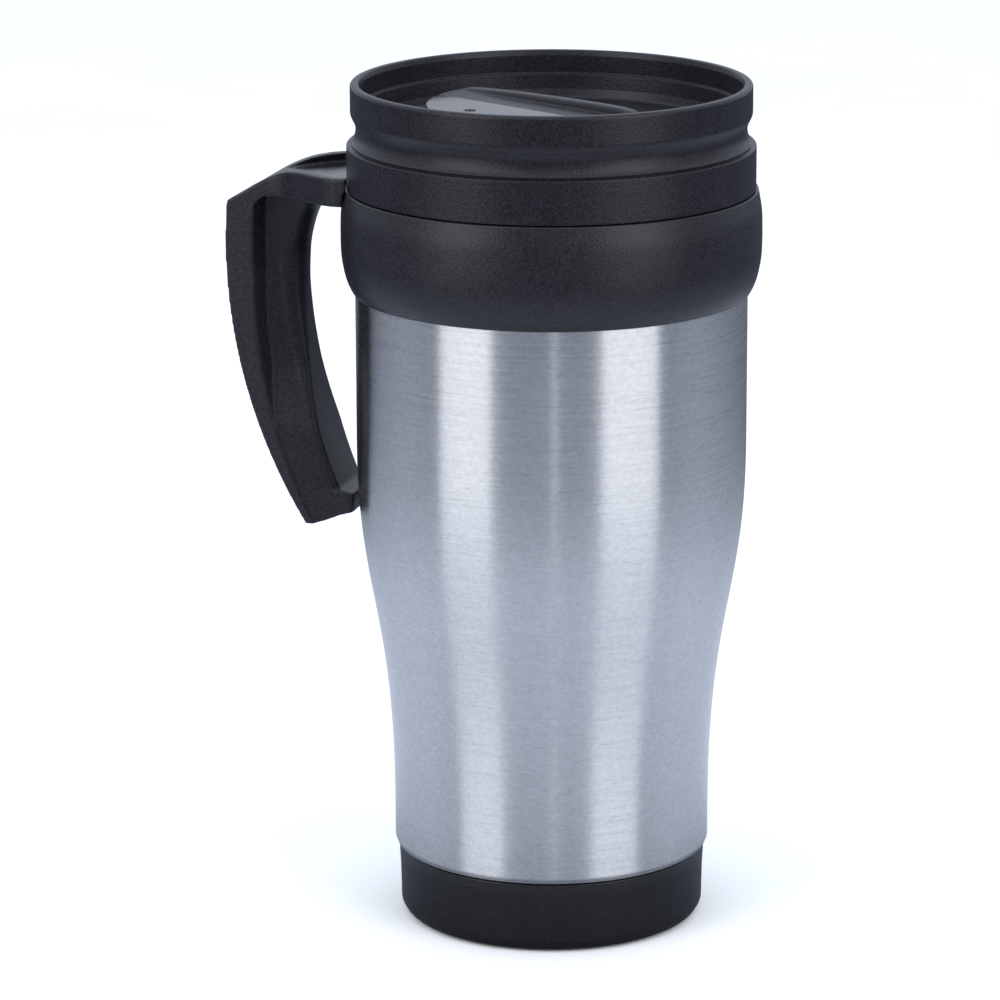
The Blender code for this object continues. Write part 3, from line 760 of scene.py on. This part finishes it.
def base_cap():
    """Cup that closes the shell's lower end, with a spigot inside the shell."""
    inner_r = SPIGOT_R - SPIGOT_WALL
    pad_room_z, floor_z = CAP_FLOOR_Z
    profile = [
        (0.0, floor_z),
        (inner_r, floor_z, 1.0),
        (inner_r, SPIGOT_TOP_Z, 0.2),
        (SPIGOT_R, SPIGOT_TOP_Z, 0.4),
        (SPIGOT_R, CAP_TOP_Z),
        (CAP_R, CAP_TOP_Z, 0.25),
        (CAP_R, 13.0, 3.0),
        (31.8, 9.5, 3.0),
        (31.65, 2.2, 1.8),
        (30.6, 0.5, 1.0),
        (PAD_R + GAP, 0.5, 0.3),
        (PAD_R + GAP, pad_room_z),
        (0.0, pad_room_z),
    ]
    return turned("base_cap_look", profile, False)


def base_pad():
    """Non-slip disc with three shallow grooves."""
    profile = [(0.0, 0.0)]
    for radius in PAD_GROOVES:
        profile += [
            (radius - 0.8, 0.0, 0.15),
            (radius - 0.5, 0.3),
            (radius + 0.5, 0.3),
            (radius + 0.8, 0.0, 0.15),
        ]
    profile += [(PAD_R, 0.0, 0.3), (PAD_R, PAD_TOP_Z, 0.2), (0.0, PAD_TOP_Z)]
    return turned("base_pad_look", profile, False)


def lid_shell():
    """Skirt, waist, rim and sunken deck in one, with the threaded plug, the drink hole and a vent."""
    shoulder = spline([(RIM_R, 170.2), (40.85, 169.6), (40.5, 168.8), (40.1, 168.0), (WAIST_R, 167.0)], 5)
    flare = spline([(WAIST_R, 167.0), (39.87, 166.2), (40.05, 165.3), (40.4, 164.5), (40.85, 163.88)], 5)
    plug_inner_r = PLUG_R - PLUG_WALL
    profile = [(39.3, HEIGHT, 0.4), (RIM_R, HEIGHT, 1.0)] + shoulder[:-1] + flare + [
        (40.75, 163.5),
        (41.2, SKIRT_TOP_Z),
        (SKIRT_R, SKIRT_TOP_Z, 0.3),
        (SKIRT_R, SKIRT_LOW_Z, 0.15),
        (SKIRT_INNER_R, SKIRT_LOW_Z, 0.2),
        (SKIRT_INNER_R, DECK_UNDER_Z, 0.8),
        (PLUG_R, DECK_UNDER_Z, 0.2),
        (PLUG_R, PLUG_LOW_Z, 0.6),
        (plug_inner_r, PLUG_LOW_Z, 0.3),
        (plug_inner_r, DECK_UNDER_Z, 0.5),
        (STEM_R + GAP, DECK_UNDER_Z, 0.2),
        (STEM_R + GAP, DECK_TOP_Z, 0.2),
        (37.3, DECK_TOP_Z, 1.0),
        (38.0, 168.0, 0.6),
        (38.35, 171.0, 0.2),
        (RIM_INNER_R, 171.2, 0.25),
        (RIM_INNER_R, 174.9, 0.6),
    ]
    thread = ridge("plug_thread", PLUG_R - THREAD_EMBED, BORE_R - THREAD_GAP, THREAD_Z)
    half_x, half_y = DRINK_HOLE_HALF
    hole = rod("drink_hole", half_x, *THROUGH_DECK, polar(DRINK_HOLE_AWAY, 270), half_y / half_x)
    vent = rod("deck_vent", VENT_HOLE_R, *THROUGH_DECK, polar(VENT_R, VENT_ANGLE + OPEN_TURN))
    return combine(turned("lid_shell_look", profile), joins=[thread], cuts=[hole, vent])


def lid_gasket():
    """Ring that the lid presses on the neck's rim."""
    inner, outer = PLUG_R + GAP, SKIRT_INNER_R - 1.2
    low, top = GASKET_Z
    profile = [(outer, top, 0.4), (outer, low, 0.4), (inner, low, 0.4), (inner, top, 0.4)]
    return turned("lid_gasket_look", profile)


def thumb_rib():
    """The closure's rib along X: steep sides and a rounded crest that rises towards its front end."""
    crest = spline([
        (-CLOSURE_R + 1.0, 171.6), (-CLOSURE_R + 3.0, 172.1), (-12.0, 172.7), (0.0, RIB_TOP_Z - 0.2),
        (15.0, RIB_TOP_Z), (CLOSURE_R - 4.0, RIB_TOP_Z - 0.25),
        (CLOSURE_R - 2.0, 172.3), (CLOSURE_R - 1.6, 171.7),
    ], 8)
    foot_z = CLOSURE_TOP_Z - 0.8
    section = [(-1.0, 0.0)] + arc((0, 0), 1.0, 170, 10, 14) + [(1.0, 0.0)]

    def side(share):
        return RIB_HALF * math.copysign(abs(share) ** 0.5, share)

    return loft("thumb_rib", [
        [Vector((x, side(u), foot_z + (top - foot_z) * v ** 0.6)) * MM for u, v in section]
        for x, top in crest
    ])


def closure_disc():
    """Half-round plate, hollow from below, with its thumb rib, its vent and the stem that it turns on."""
    low = DECK_TOP_Z + GAP
    back = RIB_ANGLE + 180
    half_plate = arc((0, 0), CLOSURE_R, back, back + 180, 72) + \
        arc((0, 0), HUB_R, RIB_ANGLE + 20, RIB_ANGLE + 160, 16)
    obj = prism("closure_disc_look", half_plate, low, CLOSURE_TOP_Z)
    near_hub = 8.5
    pocket = arc((0, 0), CLOSURE_R - PLATE_WALL, back + 6, back + 174, 48) + \
        [polar(near_hub, RIB_ANGLE - 14)] + \
        arc((0, 0), HUB_R + HUB_WALL, RIB_ANGLE - 30, back + 30 - 360, 12) + \
        [polar(near_hub, back + 14)]
    rib = thumb_rib()
    rib.data.transform(Matrix.Rotation(math.radians(RIB_ANGLE), 4, "Z"))
    stem_low, stem_top = STEM_Z
    groove_low, groove_top = GROOVE_Z
    stem = turned("stem", [
        (0.0, stem_top),
        (STEM_R + 1.6, stem_top),
        (STEM_R + 1.6, low),
        (STEM_R, low),
        (STEM_R, groove_top),
        (GROOVE_R, groove_top),
        (GROOVE_R, groove_low),
        (STEM_R, groove_low),
        (STEM_R - 0.7, stem_low),
        (0.0, stem_low),
    ], False, AROUND_STEM)
    vent = rod("vent", VENT_HOLE_R, *THROUGH_PLATE, polar(VENT_R, VENT_ANGLE))
    combine(obj, cuts=[prism("pocket", pocket, low - 1, CLOSURE_TOP_Z - PLATE_WALL)])
    combine(obj, joins=[rib, stem], cuts=[vent])
    return moulded(obj, FINE_GRID)


def closure_seal():
    """Oval pad in the plate's pocket that covers the drink hole."""
    low, top = DECK_TOP_Z + GAP, CLOSURE_TOP_Z - PLATE_WALL - GAP
    pad = rod("closure_seal_look", SEAL_R, low, top, polar(SEAL_AWAY, 270), SEAL_STRETCH)
    return moulded(pad, FINE_GRID)


def retaining_washer():
    """Push-on washer in the stem's groove, under the deck."""
    inner, outer = WASHER
    low, top = WASHER_Z
    profile = [(outer, top, 0.3), (outer, low, 0.3), (inner, low, 0.2), (inner, top, 0.2)]
    return turned("retaining_washer_look", profile)


BLACK = ((0.0066, 0.0060, 0.0092), (0.0165, 0.0152, 0.0215))  # darkest and lightest tone
BASE_BLACK = ((0.007, 0.007, 0.0098), (0.0115, 0.0115, 0.0155))
CLOSURE_BLACK = ((0.012, 0.012, 0.016), (0.018, 0.018, 0.024))
SMOOTH_BLACK = ((0.010, 0.010, 0.014), (0.015, 0.015, 0.020))
LINER_BLACK = ((0.012, 0.012, 0.015), (0.018, 0.018, 0.022))

steel = brushed_steel()
black = grained_plastic("body_plastic_look", *BLACK)
lid_black = grained_plastic("lid_plastic_look", *BLACK, level=0.28)
base_black = grained_plastic("base_plastic_look", *BASE_BLACK, (0.30, 0.38), 0.3)
closure_black = smooth_plastic("closure_plastic_look", *CLOSURE_BLACK, (0.08, 0.14))
smooth_black = smooth_plastic("smooth_plastic_look", *SMOOTH_BLACK, (0.16, 0.22))
liner_black = smooth_plastic("liner_plastic_look", *LINER_BLACK, (0.18, 0.26))
pad_black = silicone("pad_rubber_look", (0.020, 0.020, 0.022), (0.032, 0.032, 0.035))
seal_grey = silicone("silicone_look", (0.10, 0.10, 0.11), (0.16, 0.16, 0.17))

finish_piece(outer_shell(), "mug", steel)
finish_piece(inner_liner(), "mug", liner_black)
finish_piece(collar(), "mug", black)
polish_channel(finish_piece(handle(), "mug", black, 60))
finish_piece(base_cap(), "mug", base_black)
finish_piece(base_pad(), "mug", pad_black)
finish_piece(lid_shell(), "lid", lid_black)
finish_piece(lid_gasket(), "seal_ring", seal_grey)
grain_rib(finish_piece(closure_disc(), "closure", closure_black, 60))
finish_piece(closure_seal(), "closure", seal_grey, 60)
finish_piece(retaining_washer(), "closure", closure_black)


# ---------------------------------------------------------------- stage, light and camera

VIEW_AZIMUTH = 15.0      # the camera stands this far from -Y, turned away from the handle
CAMERA_AWAY = 0.97285    # metres from the mug's axis
CAMERA_HEIGHT = 0.34272  # metres above the floor
CAMERA_DOWN = 14.66      # degrees below the horizon
CAMERA_LENS = 174.5
CAMERA_SHIFT = -0.0515
FLOOR_PAINTED_LIGHT = (         # painted light and shade on the floor for all rays but the lens's, at a distance from the mug's axis, in metres
    (0.05, (0.20, 0.215, 0.24)),
    (0.11, (0.73, 0.76, 0.82)),
    (0.18, (0.73, 0.76, 0.82)),
    (0.45, (0.10, 0.11, 0.13)),
)
STUDIO_FRONT = (0.045, 0.05, 0.06)
STUDIO_BACK = (0.72, 0.78, 0.89)
STUDIO_TOP = (1.22, 1.32, 1.48)
STUDIO_SEEN = (1.1, 1.1, 1.1)  # the background that the lens sees
BACK_SPREAD = (-0.5, 0.15)     # where the front gives way to the back, as the cosine towards the back
TOP_SPREAD = (0.3, 0.8)        # where both give way to the top, as the cosine towards straight up
PANEL_AIM = Vector((0, 0, 0.09))


def around_axis(distance, azimuth, height):
    """A point at an azimuth from the viewing direction, in metres."""
    a = math.radians(VIEW_AZIMUTH + azimuth)
    return Vector((distance * math.sin(a), -distance * math.cos(a), height))


def floor():
    """The sweep that the mug stands on, which exists only in the stage."""
    shape = bmesh.new()
    bmesh.ops.create_circle(shape, cap_ends=True, radius=4.0, segments=96)
    obj = from_shape("floor", shape)
    obj.data.materials.append(floor_paint())


def panel(name, azimuth, distance, height, size, power):
    """A soft box that faces the mug."""
    light = bpy.data.lights.new(name, "AREA")
    light.shape = "RECTANGLE"
    light.size, light.size_y = size
    light.energy = power
    obj = bpy.data.objects.new(name, light)
    bpy.context.scene.collection.objects.link(obj)
    obj.location = around_axis(distance, azimuth, height)
    aim = PANEL_AIM - obj.location
    obj.rotation_euler = aim.to_track_quat("-Z", "Y").to_euler()


def surroundings():
    """A studio that is bright behind and above the mug and dark on the camera's side."""
    world = bpy.data.worlds.new("studio")
    bpy.context.scene.world = world
    world.use_nodes = True
    nodes, links = world.node_tree.nodes, world.node_tree.links
    place = nodes.new("ShaderNodeTexCoord").outputs["Generated"]

    def along_direction(direction, start, end):
        share = nodes.new("ShaderNodeVectorMath")
        share.operation = "DOT_PRODUCT"
        share.inputs[1].default_value = direction
        grade = nodes.new("ShaderNodeMapRange")
        grade.interpolation_type = "SMOOTHSTEP"
        grade.inputs["From Min"].default_value = start
        grade.inputs["From Max"].default_value = end
        links.new(place, share.inputs[0])
        links.new(share.outputs["Value"], grade.inputs["Value"])
        return grade.outputs["Result"]

    def blend(factor, one, two):
        made = nodes.new("ShaderNodeMix")
        made.data_type = "RGBA"
        links.new(factor, made.inputs[0])
        for socket, value in ((made.inputs[6], one), (made.inputs[7], two)):
            if isinstance(value, tuple):
                socket.default_value = (*value, 1.0)
            else:
                links.new(value, socket)
        return made.outputs[2]

    towards_back = around_axis(-1.0, 0.0, 0.0)
    level = blend(along_direction(towards_back, *BACK_SPREAD), STUDIO_FRONT, STUDIO_BACK)
    sky = blend(along_direction((0.0, 0.0, 1.0), *TOP_SPREAD), level, STUDIO_TOP)
    seen = nodes.new("ShaderNodeLightPath").outputs["Is Camera Ray"]
    links.new(blend(seen, sky, STUDIO_SEEN), nodes["Background"].inputs["Color"])


def camera():
    data = bpy.data.cameras.new("camera")
    data.sensor_width = 36.0
    data.lens = CAMERA_LENS
    data.shift_x = CAMERA_SHIFT
    data.clip_start = 0.05
    obj = bpy.data.objects.new("camera", data)
    bpy.context.scene.collection.objects.link(obj)
    obj.location = around_axis(CAMERA_AWAY, 0.0, CAMERA_HEIGHT)
    obj.rotation_euler = (math.radians(90 - CAMERA_DOWN), 0.0, math.radians(VIEW_AZIMUTH))
    bpy.context.scene.camera = obj


floor()
surroundings()
panel("left_strip", -50.5, 1.0, 0.45, (0.63, 1.0), 6.0)
panel("right_strip", 46, 1.0, 0.45, (0.69, 1.0), 6.4)
panel("slit", 1.8, 1.5, 0.55, (0.02, 0.9), 0.5)
camera()
bpy.context.scene.view_settings.view_transform = "Standard"
